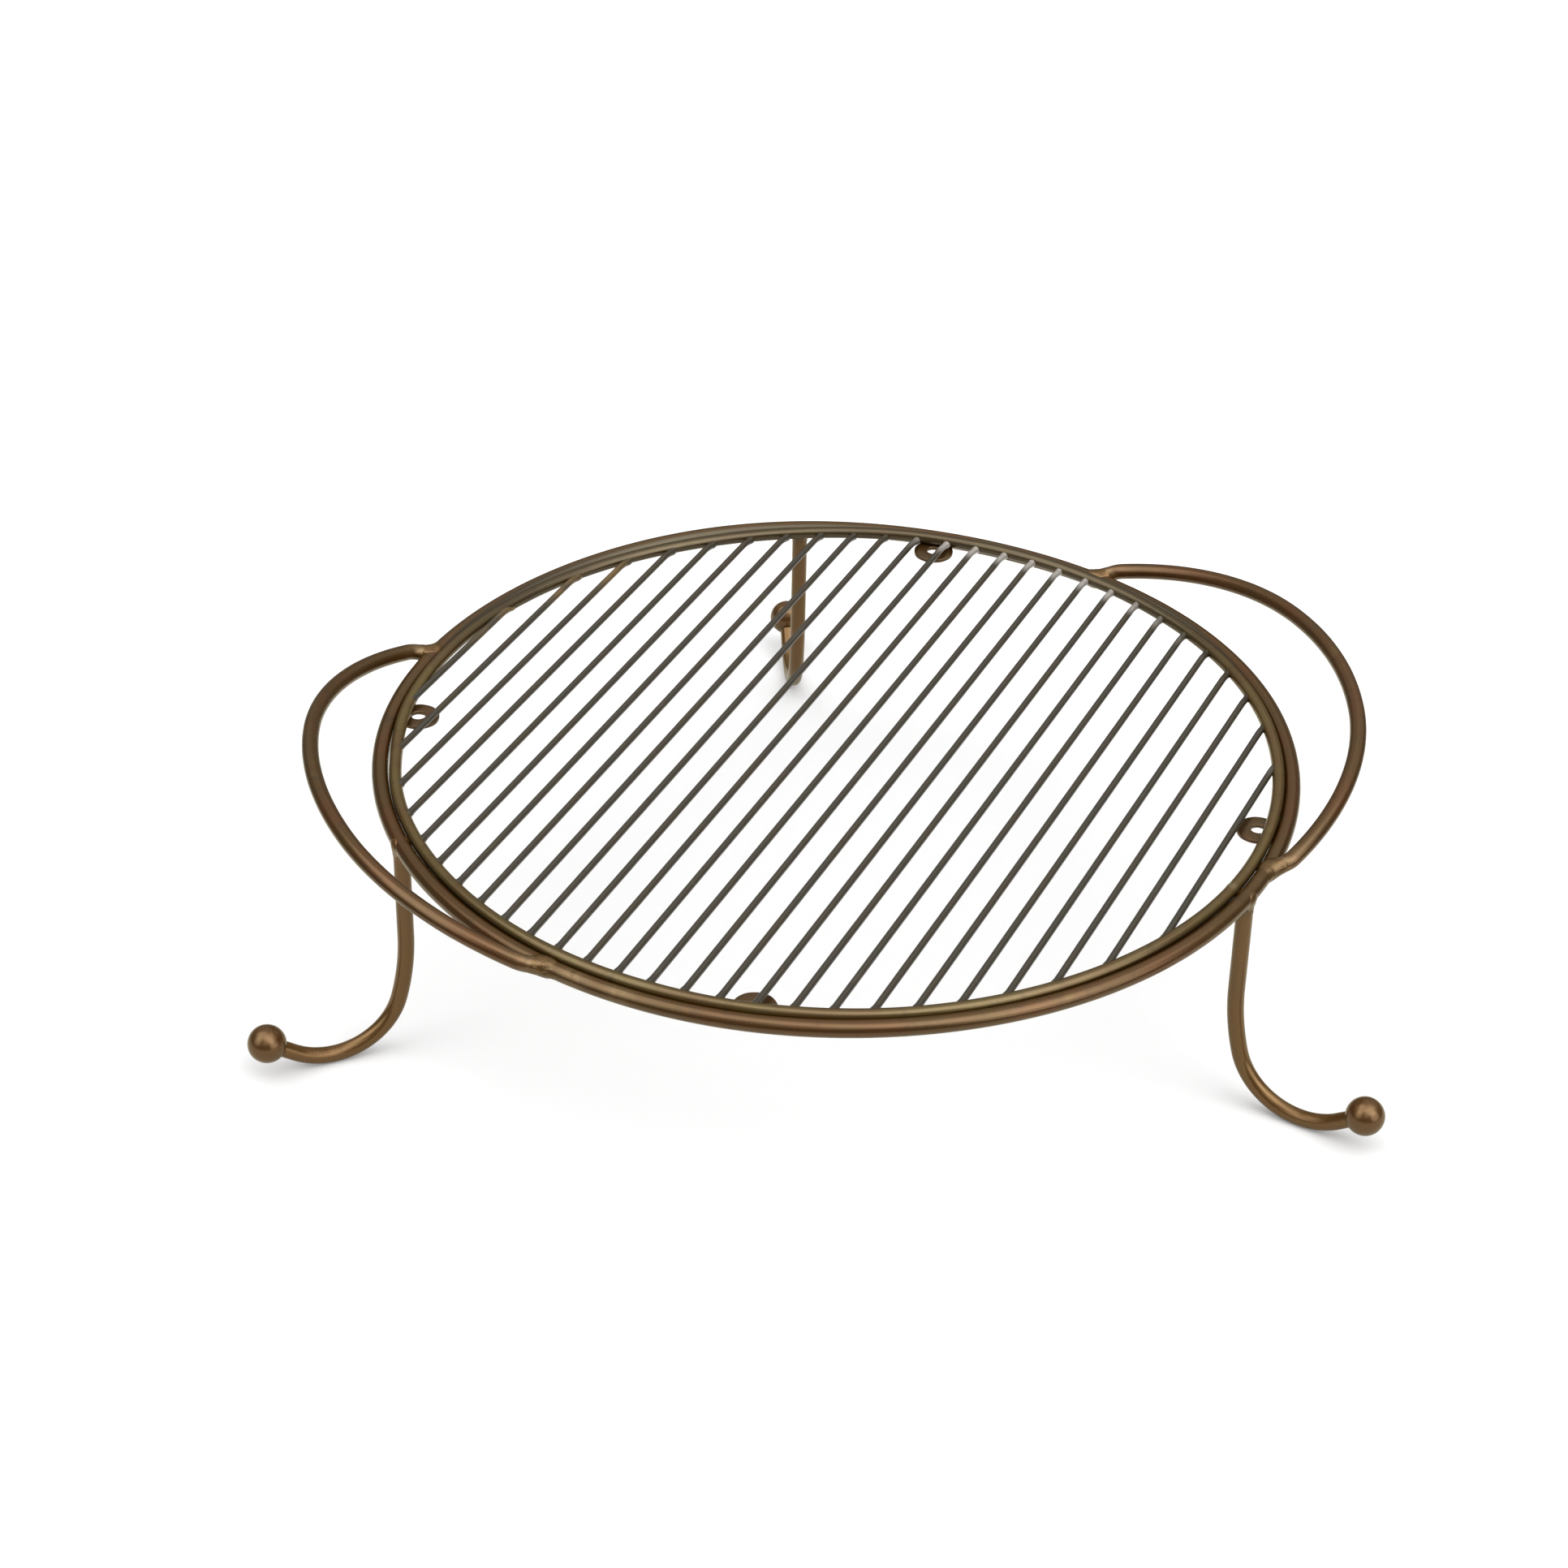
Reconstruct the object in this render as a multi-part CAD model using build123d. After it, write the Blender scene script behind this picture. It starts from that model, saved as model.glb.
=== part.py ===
from build123d import *
import math
import os

# Footed round cooling rack: a welded round-rod stand and a loose wire grate that drops into it.
# Millimetres and degrees. The origin is on the table under the middle of the outer ring; +Z is up,
# +X runs through the right-hand handle and azimuths turn anticlockwise seen from above.

# Round stock
FRAME_ROD_DIA = 6.35
HANDLE_ROD_DIA = 6.2
LEG_ROD_DIA = 6.2
GRATE_RING_ROD_DIA = 4.76
GRATE_WIRE_DIA = 2.6

# Outer ring
RING_RADIUS = 171.8

# Legs: straight drop, slow bend, tight bend, short rising tail into the ball
LEG_AZIMUTHS = {"leg_front_left": 188.4, "leg_front_right": 314.0, "leg_rear": 80.5}
LEG_DROP = 40.3
LEG_SLOW_RADIUS = 100.0
LEG_SLOW_SWEEP = 15.6
LEG_TIGHT_RADIUS = 27.0
LEG_TIGHT_SWEEP = 108.5
LEG_TAIL = 12.2
BALL_DIA = 14.5
BALL_HOLE_STOP = 2.0

# Handles: a three-centre bow whose ends kink inward onto the ring, in a plane that rises outward
HANDLE_AZIMUTHS = {"handle_right": -1.3, "handle_left": 180.9}
HANDLE_HALF_SPAN = 107.0
HANDLE_RISE_ANGLE = 17.1
HANDLE_CROWN_RADIUS = 148.0
HANDLE_CROWN_HALF_SWEEP = 14.0
HANDLE_SIDE_RADIUS = 114.5
HANDLE_SIDE_END_HEADING = 57.7
HANDLE_KINK_RADIUS = 9.0
HANDLE_END_HEADING = 84.0

# Support tabs: pierced discs tacked to the inside of the outer ring; the grate ring rests on them
TAB_AZIMUTHS = (61.0, 157.8, 245.5, 329.3)
TAB_CENTRE_RADIUS = 161.5
TAB_DIA = 16.0
TAB_HOLE_DIA = 5.6
TAB_THICKNESS = 1.6
TAB_TOP_ABOVE_RING_AXIS = -0.28

# Grate: 26 parallel wires inside a ring; the far tip of each dips onto the ring rod
GRATE_RING_RADIUS = 166.0
GRATE_WIRE_COUNT = 26
GRATE_WIRE_PITCH = 12.63
GRATE_FIRST_WIRE_OFFSET = -161.8
GRATE_WIRE_DIRECTION = 51.5
GRATE_PLAY_SHIFT = 0.5
GRATE_PLAY_AZIMUTH = -54.5
WIRE_RISE = 0.6
WIRE_TIP_DIP = 1.2
WIRE_TIP_LENGTH = 6.5
WIRE_TIP_BEND_RADIUS = 8.0

# Weld beads
HANDLE_BEAD_RADIUS = 4.1
LEG_BEAD_RADIUS = 4.4
TAB_BEAD_RADIUS = 2.0
TAB_BEAD_RING_OFFSET = 2.9
TAB_BEAD_DROP = 1.6

OUTPUT_FOLDER = "parts"


def sin_deg(angle):
    return math.sin(math.radians(angle))


def cos_deg(angle):
    return math.cos(math.radians(angle))


# Heights that follow from the leg shape: the stand rests on the undersides of the three tight bends
LEG_DEPTH = (
    LEG_DROP
    + LEG_SLOW_RADIUS * sin_deg(LEG_SLOW_SWEEP)
    + LEG_TIGHT_RADIUS * (1 - sin_deg(LEG_SLOW_SWEEP))
)
RING_HEIGHT = LEG_DEPTH + LEG_ROD_DIA / 2
TAB_TOP_HEIGHT = RING_HEIGHT + TAB_TOP_ABOVE_RING_AXIS
GRATE_HEIGHT = TAB_TOP_HEIGHT + GRATE_RING_ROD_DIA / 2
RING_CENTRE = Location((0, 0, RING_HEIGHT))
GRATE_CENTRE = Location(
    (
        GRATE_PLAY_SHIFT * cos_deg(GRATE_PLAY_AZIMUTH),
        GRATE_PLAY_SHIFT * sin_deg(GRATE_PLAY_AZIMUTH),
        GRATE_HEIGHT,
    )
)


def rod_along(path, diameter):
    """Round rod swept along a path."""
    section = Plane(origin=path @ 0, z_dir=path % 0) * Circle(diameter / 2)
    return sweep(section, path)


def largest_solid(shape):
    """The main solid of a cut shape, without slivers."""
    return shape.solids().sort_by(SortBy.VOLUME)[-1]


def turned(azimuth):
    """Turn about the vertical axis through the origin."""
    return Rot(0, 0, azimuth)


def outer_ring():
    return RING_CENTRE * Torus(RING_RADIUS, FRAME_ROD_DIA / 2)


def leg_path(tail):
    """Centre line of a leg in the XZ plane, from the ring rod's centre down and out."""
    top = Vector(RING_RADIUS, RING_HEIGHT)
    knee = top - Vector(0, LEG_DROP)
    drop = Line(top, knee)
    slow = JernArc(drop @ 1, drop % 1, LEG_SLOW_RADIUS, LEG_SLOW_SWEEP)
    tight = JernArc(slow @ 1, slow % 1, LEG_TIGHT_RADIUS, LEG_TIGHT_SWEEP)
    rise = Line(tight @ 1, tight @ 1 + (tight % 1) * tail)
    return Plane.XZ * Wire([drop, slow, tight, rise])


def leg(azimuth, ring):
    rod = rod_along(leg_path(LEG_TAIL - BALL_HOLE_STOP), LEG_ROD_DIA)
    return largest_solid(turned(azimuth) * rod - ring)


def foot_ball(azimuth, leg_rod):
    """Ball with a blind hole that takes the leg's end."""
    centre = leg_path(LEG_TAIL) @ 1
    ball = turned(azimuth) * Pos(centre) * Sphere(BALL_DIA / 2)
    return largest_solid(ball - leg_rod)


def handle_path():
    """Symmetrical bow in the XY plane, from the left ring joint over the crown to the right one."""
    kink = HANDLE_END_HEADING - HANDLE_SIDE_END_HEADING
    side = HANDLE_SIDE_END_HEADING - HANDLE_CROWN_HALF_SWEEP
    bowed_half_width = (
        HANDLE_CROWN_RADIUS * sin_deg(HANDLE_CROWN_HALF_SWEEP)
        + HANDLE_SIDE_RADIUS * (sin_deg(HANDLE_SIDE_END_HEADING) - sin_deg(HANDLE_CROWN_HALF_SWEEP))
        + HANDLE_KINK_RADIUS * (sin_deg(HANDLE_END_HEADING) - sin_deg(HANDLE_SIDE_END_HEADING))
    )
    end_length = (HANDLE_HALF_SPAN - bowed_half_width) / cos_deg(HANDLE_END_HEADING)
    start = Vector(-HANDLE_HALF_SPAN, 0)
    heading = Vector(cos_deg(HANDLE_END_HEADING), sin_deg(HANDLE_END_HEADING))
    edges = [Line(start, start + heading * end_length)]
    bends = (
        (HANDLE_KINK_RADIUS, kink),
        (HANDLE_SIDE_RADIUS, side),
        (HANDLE_CROWN_RADIUS, 2 * HANDLE_CROWN_HALF_SWEEP),
        (HANDLE_SIDE_RADIUS, side),
        (HANDLE_KINK_RADIUS, kink),
    )
    for radius, sweep_angle in bends:
        last = edges[-1]
        edges.append(JernArc(last @ 1, last % 1, radius, -sweep_angle))
    last = edges[-1]
    edges.append(Line(last @ 1, last @ 1 + (last % 1) * end_length))
    return Wire(edges)


def handle_chord_distance():
    """Distance from the ring's centre to the line that joins a handle's two ends."""
    return math.sqrt(RING_RADIUS**2 - HANDLE_HALF_SPAN**2)


def handle(azimuth, ring):
    """Bow with its ends coped to the outside of the ring rod."""
    outward = Vector(cos_deg(HANDLE_RISE_ANGLE), 0, sin_deg(HANDLE_RISE_ANGLE))
    along = Vector(0, -1, 0)
    hinge = Vector(handle_chord_distance(), 0, RING_HEIGHT)
    plane = Plane(origin=hinge, x_dir=along, z_dir=along.cross(outward))
    rod = rod_along(plane * handle_path(), HANDLE_ROD_DIA)
    return largest_solid(turned(azimuth) * rod - ring)


def support_tab(azimuth, ring):
    """Pierced disc whose outer edge is coped to the inside of the ring rod."""
    disc = Cylinder(TAB_DIA / 2, TAB_THICKNESS) - Cylinder(TAB_HOLE_DIA / 2, TAB_THICKNESS)
    height = TAB_TOP_HEIGHT - TAB_THICKNESS / 2
    placed = turned(azimuth) * Pos(TAB_CENTRE_RADIUS, 0, height) * disc
    return largest_solid(placed - ring)


def weld_bead(azimuth, radial, height, radius, neighbours):
    """Lump of weld metal that fills the corner between the parts it joins."""
    bead = turned(azimuth) * Pos(radial, 0, height) * Sphere(radius)
    for neighbour in neighbours:
        bead = bead - neighbour
    return largest_solid(bead)


def handle_weld_beads(handles, ring):
    half_angle = math.degrees(math.asin(HANDLE_HALF_SPAN / RING_RADIUS))
    radial = RING_RADIUS + FRAME_ROD_DIA / 2
    beads = []
    for name, azimuth in HANDLE_AZIMUTHS.items():
        for side in (-1, 1):
            weld_azimuth = azimuth + side * half_angle
            parts = (ring, handles[name])
            beads.append(weld_bead(weld_azimuth, radial, RING_HEIGHT, HANDLE_BEAD_RADIUS, parts))
    return Compound(beads)


def leg_weld_beads(legs, ring):
    height = RING_HEIGHT - FRAME_ROD_DIA / 2
    beads = []
    for name, azimuth in LEG_AZIMUTHS.items():
        parts = (ring, legs[name])
        beads.append(weld_bead(azimuth, RING_RADIUS, height, LEG_BEAD_RADIUS, parts))
    return Compound(beads)


def tab_weld_beads(tabs, ring):
    radial = RING_RADIUS - TAB_BEAD_RING_OFFSET
    height = RING_HEIGHT - TAB_BEAD_DROP
    beads = []
    for azimuth, tab in zip(TAB_AZIMUTHS, tabs):
        beads.append(weld_bead(azimuth, radial, height, TAB_BEAD_RADIUS, (ring, tab)))
    return Compound(beads)


def grate_ring():
    return GRATE_CENTRE * Torus(GRATE_RING_RADIUS, GRATE_RING_ROD_DIA / 2)


def grate_wire(index, ring):
    """Straight wire whose far tip dips, with both ends coped to the inside of the grate ring."""
    offset = GRATE_FIRST_WIRE_OFFSET + index * GRATE_WIRE_PITCH
    half_length = math.sqrt(GRATE_RING_RADIUS**2 - offset**2)
    bend_at = half_length - GRATE_RING_ROD_DIA / 2 - WIRE_TIP_LENGTH
    tip_height = WIRE_RISE - WIRE_TIP_DIP
    points = (
        (-half_length, WIRE_RISE),
        (bend_at, WIRE_RISE),
        (half_length, tip_height),
    )
    path = Plane.XZ * FilletPolyline(*points, radius=WIRE_TIP_BEND_RADIUS)
    rod = rod_along(path, GRATE_WIRE_DIA)
    placed = GRATE_CENTRE * turned(GRATE_WIRE_DIRECTION) * Pos(0, -offset, 0) * rod
    return largest_solid(placed - ring)


def stand_nodes():
    ring = outer_ring()
    legs = {name: leg(azimuth, ring) for name, azimuth in LEG_AZIMUTHS.items()}
    handles = {name: handle(azimuth, ring) for name, azimuth in HANDLE_AZIMUTHS.items()}
    tabs = [support_tab(azimuth, ring) for azimuth in TAB_AZIMUTHS]
    nodes = {"outer_ring": ring, **legs, **handles}
    for name, azimuth in LEG_AZIMUTHS.items():
        nodes[name.replace("leg", "foot_ball")] = foot_ball(azimuth, legs[name])
    for number, tab in enumerate(tabs, start=1):
        nodes[f"support_tab_{number}"] = tab
    nodes["handle_weld_beads"] = handle_weld_beads(handles, ring)
    nodes["leg_weld_beads"] = leg_weld_beads(legs, ring)
    nodes["tab_weld_beads"] = tab_weld_beads(tabs, ring)
    return nodes


def grate_nodes():
    ring = grate_ring()
    nodes = {"grate_ring": ring}
    for index in range(GRATE_WIRE_COUNT):
        nodes[f"grate_wire_{index + 1:02d}"] = grate_wire(index, ring)
    return nodes


os.makedirs(OUTPUT_FOLDER, exist_ok=True)
for node_name, shape in {**stand_nodes(), **grate_nodes()}.items():
    export_step(shape, os.path.join(OUTPUT_FOLDER, f"{node_name}.step"))
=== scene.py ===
import functools
import math
from collections import namedtuple

import bmesh
import bpy
import numpy as np
from mathutils import Matrix, Vector, noise


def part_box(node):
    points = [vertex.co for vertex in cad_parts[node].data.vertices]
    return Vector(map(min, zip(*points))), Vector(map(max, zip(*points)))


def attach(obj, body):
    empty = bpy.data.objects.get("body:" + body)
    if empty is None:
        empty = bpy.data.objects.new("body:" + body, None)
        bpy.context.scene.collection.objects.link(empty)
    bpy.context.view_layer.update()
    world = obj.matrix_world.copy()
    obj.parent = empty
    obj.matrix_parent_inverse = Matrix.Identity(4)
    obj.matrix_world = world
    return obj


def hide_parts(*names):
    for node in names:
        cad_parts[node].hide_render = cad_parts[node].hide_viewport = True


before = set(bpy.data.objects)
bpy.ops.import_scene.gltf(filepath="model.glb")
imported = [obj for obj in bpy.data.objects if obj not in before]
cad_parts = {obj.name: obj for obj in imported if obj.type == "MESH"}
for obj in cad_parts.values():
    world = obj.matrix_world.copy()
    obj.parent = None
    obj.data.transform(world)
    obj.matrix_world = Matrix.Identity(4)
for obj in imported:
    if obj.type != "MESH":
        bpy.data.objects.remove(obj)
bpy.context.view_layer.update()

MM = 0.001
UP = Vector((0, 0, 1))

# The picture's view of the rack, in degrees and metres; the aim is taken from the frame's axis at the ring
VIEW_AZIMUTH = -104.48
VIEW_ELEVATION = 33.462
VIEW_SLOPE = math.tan(math.radians(VIEW_ELEVATION))
VIEW_ROLL = 1.089
VIEW_DISTANCE = 1.3515
VIEW_AIM = Vector((-0.02444, -0.01638, 0.00012))
SENSOR_WIDTH = 36
LENS = 83.21

# Round stock, as in the CAD part
FRAME_ROD_RADIUS = 3.175 * MM
HANDLE_ROD_RADIUS = 3.1 * MM
LEG_ROD_RADIUS = 3.1 * MM
GRATE_RING_ROD_RADIUS = 2.38 * MM
WIRE_RADIUS = 1.3 * MM

# Unevenness of coated rod: its depth, and the size of its coarse and fine lumps
ROD_UNEVENNESS = 0.012 * MM
WIRE_UNEVENNESS = 0.008 * MM
COARSE_LUMP = 7 * MM
FINE_LUMP = 2.5 * MM

# Leg profile from the ring rod's axis: drop, slow bend, tight bend, rising tail into the ball
LEG_NODES = ("leg_front_left", "leg_front_right", "leg_rear")
LEG_DROP = 40.3 * MM
LEG_BENDS = ((100.0 * MM, 15.6), (27.0 * MM, 108.5))
LEG_TAIL = 12.2 * MM

# Ball feet, with a shallow groove round the mouth where the leg goes in
BALL_RADIUS = 7.25 * MM
BALL_LUMP = 0.04 * MM
GROOVE_PLACE = 1.08 * math.asin(LEG_ROD_RADIUS / BALL_RADIUS)
GROOVE_ANGLE = 0.07
GROOVE_DEPTH = 0.18 * MM

# Handle bow from one ring joint to the other: each bend's radius, and its turn in degrees
HANDLE_NODES = ("handle_left", "handle_right")
HANDLE_HALF_SPAN = 107.0 * MM
HANDLE_RISE = 17.1
HANDLE_END_HEADING = 84.0
HANDLE_BENDS = (
    (9.0 * MM, 26.3),
    (114.5 * MM, 43.7),
    (148.0 * MM, 28.0),
    (114.5 * MM, 43.7),
    (9.0 * MM, 26.3),
)

# Support tabs
TAB_NODES = tuple(f"support_tab_{number}" for number in range(1, 5))
TAB_RADIUS = 8.0 * MM
TAB_HOLE_RADIUS = 2.7 * MM
TAB_HALF_THICKNESS = 0.8 * MM
TAB_CENTRE_RADIUS = 161.5 * MM
TAB_CORNER = 0.35 * MM
TAB_LUMP = 0.12 * MM

# Welds: how far one spreads, how much its middle stands proud, and how wide it fills the corner
Weld = namedtuple("Weld", "reach crown fillet")
HANDLE_WELD = Weld(6.4 * MM, 0.35 * MM, 2.4 * MM)
LEG_WELD = Weld(5.6 * MM, 0.3 * MM, 2.2 * MM)
TAB_WELD = Weld(3.4 * MM, 0.2 * MM, 1.6 * MM)
WELD_EDGE_SINK = 0.12 * MM
WELD_LUMP = 0.16 * MM
WELD_RIPPLE = 0.07 * MM

# A weld's middle lies this far from the end of the part that it joins, or below the middle of the tab
ROD_WELD_OFFSET = 2.6 * MM
TAB_WELD_DROP = 0.3 * MM

# Points of a rod's centre line that its weld flows over
HANDLE_WELD_STRETCH = 26
LEG_WELD_STRETCH = 16

# Wires: just above the ring rod's axis, dipping at the far tip, thicker where they are welded
WIRE_COUNT = 26
WIRE_RISE = 0.6 * MM
TIP_DIP = 1.2 * MM
TIP_LENGTH = 6.5 * MM
WIRE_SWELL = 0.3 * MM
WIRE_SWELL_LENGTH = 0.9 * MM
WIRE_STEP = 2.2 * MM
TIP_STEP = 0.7 * MM
TIP_ZONE = 11 * MM

# Raised seam where the ends of the grate's ring meet
SEAM_AZIMUTH = 313.5
SEAM_HEIGHT = 0.22 * MM
SEAM_WIDTH = 0.6 * MM

# Hand-bent rings are slightly out of round: (waves round the ring, size, azimuth of the first crest)
OUTER_RING_WAVES = (
    (0, -0.3 * MM, 0),
    (2, 0.19 * MM, -79),
    (3, 0.34 * MM, -24),
    (4, 0.37 * MM, 4),
    (5, 0.38 * MM, 17),
)
GRATE_RING_WAVES = (
    (1, 0.2 * MM, -18),
    (2, 0.5 * MM, 31),
    (3, 0.3 * MM, 45),
    (4, 0.2 * MM, -28),
    (5, 0.25 * MM, -21),
)

# Share of the outer ring's bend that is a twist up or down, and the grate ring's largest twist
TWIST_SHARE = 0.7
LARGEST_TWIST = 1.3 * MM

# The grate's ring lies against the stand's ring, rests on the tabs and gapes a little at the left
RING_CLEARANCE = 0.03 * MM
TAB_HOLD_ANGLE = 8
LEFT_GAP_AZIMUTH = 168
LEFT_GAP_ANGLE = 7
LEFT_GAP_DEPTH = 0.8 * MM

# Painted shade where the rings face each other, in degrees round the rod: more at the sides and at the back
CREVICE_WIDTH = 16
CREVICE_SIDE_WIDTH = 26
CREVICE_BACK_WIDTH = 30
CREVICE_BACK_LIFT = 32
CREVICE_DEPTH = 0.45

# Painted shade all round the grate's ring rod, which damps its highlights at the back and the front
BACK_SHADE = 0.78
FRONT_SHADE = 0.30

# Lighter spots, each with a size and a strength: a painted highlight on the outer ring (azimuths, angle
# above its outer side)
RING_HIGHLIGHT_AZIMUTHS = (224, 230)
RING_HIGHLIGHT_LIFT = math.radians(60)
RING_HIGHLIGHT = (5 * MM, 0.22)
# Rubbed wear near the handles' ends and round the grate ring's seam
HANDLE_START_RUB = (11 * MM, 0.35)
HANDLE_END_RUB = (11 * MM, 0.45)
SEAM_RUB = (1.6 * MM, 0.9)
SEAM_RUB_INSET = 0.5 * MM

# Share of a lighter tan coat on the legs and the balls
LEG_TAN = 0.5
BALL_TAN = 0.22

# Bronze lacquer: part metal, part glossy clear coat
LACQUER_METALLIC = 0.6
LACQUER_IOR = 1.6
LACQUER_GLOSS = 1.0
# Painted shade between the rings, and a lighter tan coat
CREVICE_SHADE = (0.012, 0.006, 0.002)
TAN_COAT = (0.135, 0.060, 0.007)

# Wire tips: a pale painted highlight at the back right, stained golden at the back left
TIP_HIGHLIGHT = (0.50, 0.47, 0.43)
GOLDEN_STAIN = (0.20, 0.115, 0.030)

# Where each of them begins and is full, by length from the tip and by x across the rack
TIP_HIGHLIGHT_LENGTH = (15 * MM, 6 * MM)
TIP_HIGHLIGHT_LEFT_EDGE = (62 * MM, 85 * MM)
TIP_HIGHLIGHT_RIGHT_EDGE = (160 * MM, 135 * MM)
STAIN_LENGTH = (42 * MM, 12 * MM)
STAIN_RIGHT_EDGE = (-35 * MM, -60 * MM)

# Colours of the coat's body, dark patches and painted reflections, reddish patches, rubbed coat, bare metal
# and painted highlight, clear coat
Finish = namedtuple("Finish", "body dark warm rubbed bare tint roughness tips", defaults=[False])
FINISHES = {
    "stand_bronze": Finish(
        body=(0.064, 0.026, 0.002), dark=(0.027, 0.010, 0.001), warm=(0.078, 0.024, 0.002),
        rubbed=(0.118, 0.066, 0.016), bare=(0.30, 0.20, 0.10), tint=(1.0, 0.97, 0.74),
        roughness=0.25,
    ),
    "tab_bronze": Finish(
        body=(0.058, 0.026, 0.004), dark=(0.024, 0.010, 0.001), warm=(0.072, 0.024, 0.004),
        rubbed=(0.105, 0.058, 0.018), bare=(0.24, 0.17, 0.09), tint=(1.0, 0.96, 0.74),
        roughness=0.34,
    ),
    "weld_bronze": Finish(
        body=(0.080, 0.036, 0.005), dark=(0.032, 0.013, 0.002), warm=(0.125, 0.050, 0.008),
        rubbed=(0.22, 0.14, 0.06), bare=(0.34, 0.25, 0.15), tint=(1.0, 0.96, 0.74),
        roughness=0.27,
    ),
    "grate_ring_bronze": Finish(
        body=(0.104, 0.066, 0.014), dark=(0.040, 0.024, 0.004), warm=(0.098, 0.050, 0.010),
        rubbed=(0.160, 0.112, 0.040), bare=(0.34, 0.28, 0.18), tint=(1.0, 0.95, 0.78),
        roughness=0.24,
    ),
    "grate_wire_bronze": Finish(
        body=(0.040, 0.034, 0.021), dark=(0.019, 0.016, 0.010), warm=(0.046, 0.034, 0.017),
        rubbed=(0.085, 0.075, 0.052), bare=(0.20, 0.18, 0.15), tint=(1.0, 0.97, 0.94),
        roughness=0.34, tips=True,
    ),
}

# Softboxes: azimuth from the camera (right is positive), elevation, inner and outer angle, brightness
SOFTBOXES = (
    (65, 62, 4, 40, 2.2),  # right, high
    (40, 55, 12, 32, 1.9),  # right front, high
    (55, 21, 20, 28, 2.2),  # right front, low
    (-5, 40, 8, 16, 1.0),  # above the camera
    (-15, 63, 4, 14, 1.3),  # front, high
    (-60, 34, 4, 28, 2.0),  # left front, low
    (-83, 64, 4, 36, 2.7),  # left, high
    (-150, 50, 20, 42, 0.4),  # back left
    (135, 50, 4, 44, 0.6),  # back right
)
SURROUND = 0.25
BACKDROP_SHADE = 0.98

# Floor: pale to the camera and near the rack, but dark farther out in what the rods reflect
FLOOR_REACH = 6.0
FLOOR_SHADE = 0.60
FAR_FLOOR_SHADE = 0.10
NEAR_FLOOR = 0.32
FAR_FLOOR = 0.55
FLOOR_GLOW = 0.12


# ---------------------------------------------------------------- measuring the CAD frame


def direction(azimuth):
    return Vector((math.cos(azimuth), math.sin(azimuth), 0))


def azimuth_towards(place):
    return math.atan2(place.y, place.x)


def box_centre(node):
    low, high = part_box(node)
    return (low + high) / 2


def ring_of(node, rod_radius):
    """Centre and centre-line radius of a ring of round rod."""
    low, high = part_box(node)
    return (low + high) / 2, (high.x - low.x) / 2 - rod_radius


def azimuth_of(node):
    """Azimuth of a node's middle about the frame's vertical axis, in radians."""
    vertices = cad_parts[node].data.vertices
    return azimuth_towards(sum((vertex.co for vertex in vertices), Vector()))


RING_CENTRE, RING_RADIUS = ring_of("outer_ring", FRAME_ROD_RADIUS)
GRATE_CENTRE, GRATE_RADIUS = ring_of("grate_ring", GRATE_RING_ROD_RADIUS)
TAB_AZIMUTHS = [azimuth_of(node) for node in TAB_NODES]


# ---------------------------------------------------------------- bent rings


def bell(distance, width):
    """1 at no distance, falling off both ways."""
    return math.exp(-((distance / width) ** 2))


def eased(value, low, high):
    """0 below low, 1 above high, eased between."""
    share = min(1.0, max(0.0, (value - low) / (high - low)))
    return share * share * (3 - 2 * share)


def turn_between(azimuth, other):
    return math.remainder(azimuth - other, 2 * math.pi)


def waviness(waves, azimuth):
    """Departure of a ring from its true radius at an azimuth in radians."""
    return sum(size * np.cos(count * (azimuth - math.radians(crest))) for count, size, crest in waves)


def towards_view(azimuth):
    """1 at the ring's front as the picture shows it, -1 at its back."""
    return np.cos(azimuth - math.radians(VIEW_AZIMUTH))


def outer_ring_shift(azimuth):
    """Outward and upward departure of the stand's ring from a flat circle: bent and a little twisted."""
    bend = waviness(OUTER_RING_WAVES, azimuth)
    facing = towards_view(azimuth)
    twisted = TWIST_SHARE * bend * facing**2
    return bend - twisted, -VIEW_SLOPE * facing * twisted


def freedom(azimuth):
    """0 where a tab holds the grate's ring level, 1 away from the tabs."""
    hold = math.radians(TAB_HOLD_ANGLE)
    return math.prod(1 - bell(turn_between(azimuth, tab), hold) for tab in TAB_AZIMUTHS)


def grate_ring_shift(azimuth):
    """Outward and upward departure of the grate's ring, which lies against the stand's ring."""
    bend = waviness(GRATE_RING_WAVES, azimuth)
    stand_out, stand_up = outer_ring_shift(azimuth)
    play = (GRATE_CENTRE - RING_CENTRE).dot(direction(azimuth))
    twist = -VIEW_SLOPE * towards_view(azimuth) * freedom(azimuth)
    apart = FRAME_ROD_RADIUS + GRATE_RING_ROD_RADIUS + RING_CLEARANCE
    out = bend
    for _ in range(5):  # settles where the two rods lie side by side
        up = min(LARGEST_TWIST, max(-LARGEST_TWIST, twist * (bend - out)))
        rise = GRATE_CENTRE.z - RING_CENTRE.z + up - stand_up
        out = RING_RADIUS + stand_out - math.sqrt(apart**2 - rise**2) - play - GRATE_RADIUS
    off_gap = turn_between(azimuth, math.radians(LEFT_GAP_AZIMUTH))
    return out - LEFT_GAP_DEPTH * bell(off_gap, math.radians(LEFT_GAP_ANGLE)), up


def bent_ring(centre, radius, shift_at, count):
    """Centre line of a ring that departs from a flat circle as shift_at says."""
    points = []
    for number in range(count):
        azimuth = 2 * math.pi * number / count
        out, up = shift_at(azimuth)
        points.append(centre + direction(azimuth) * (radius + out) + UP * up)
    return points


# ---------------------------------------------------------------- centre lines in a plane


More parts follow.
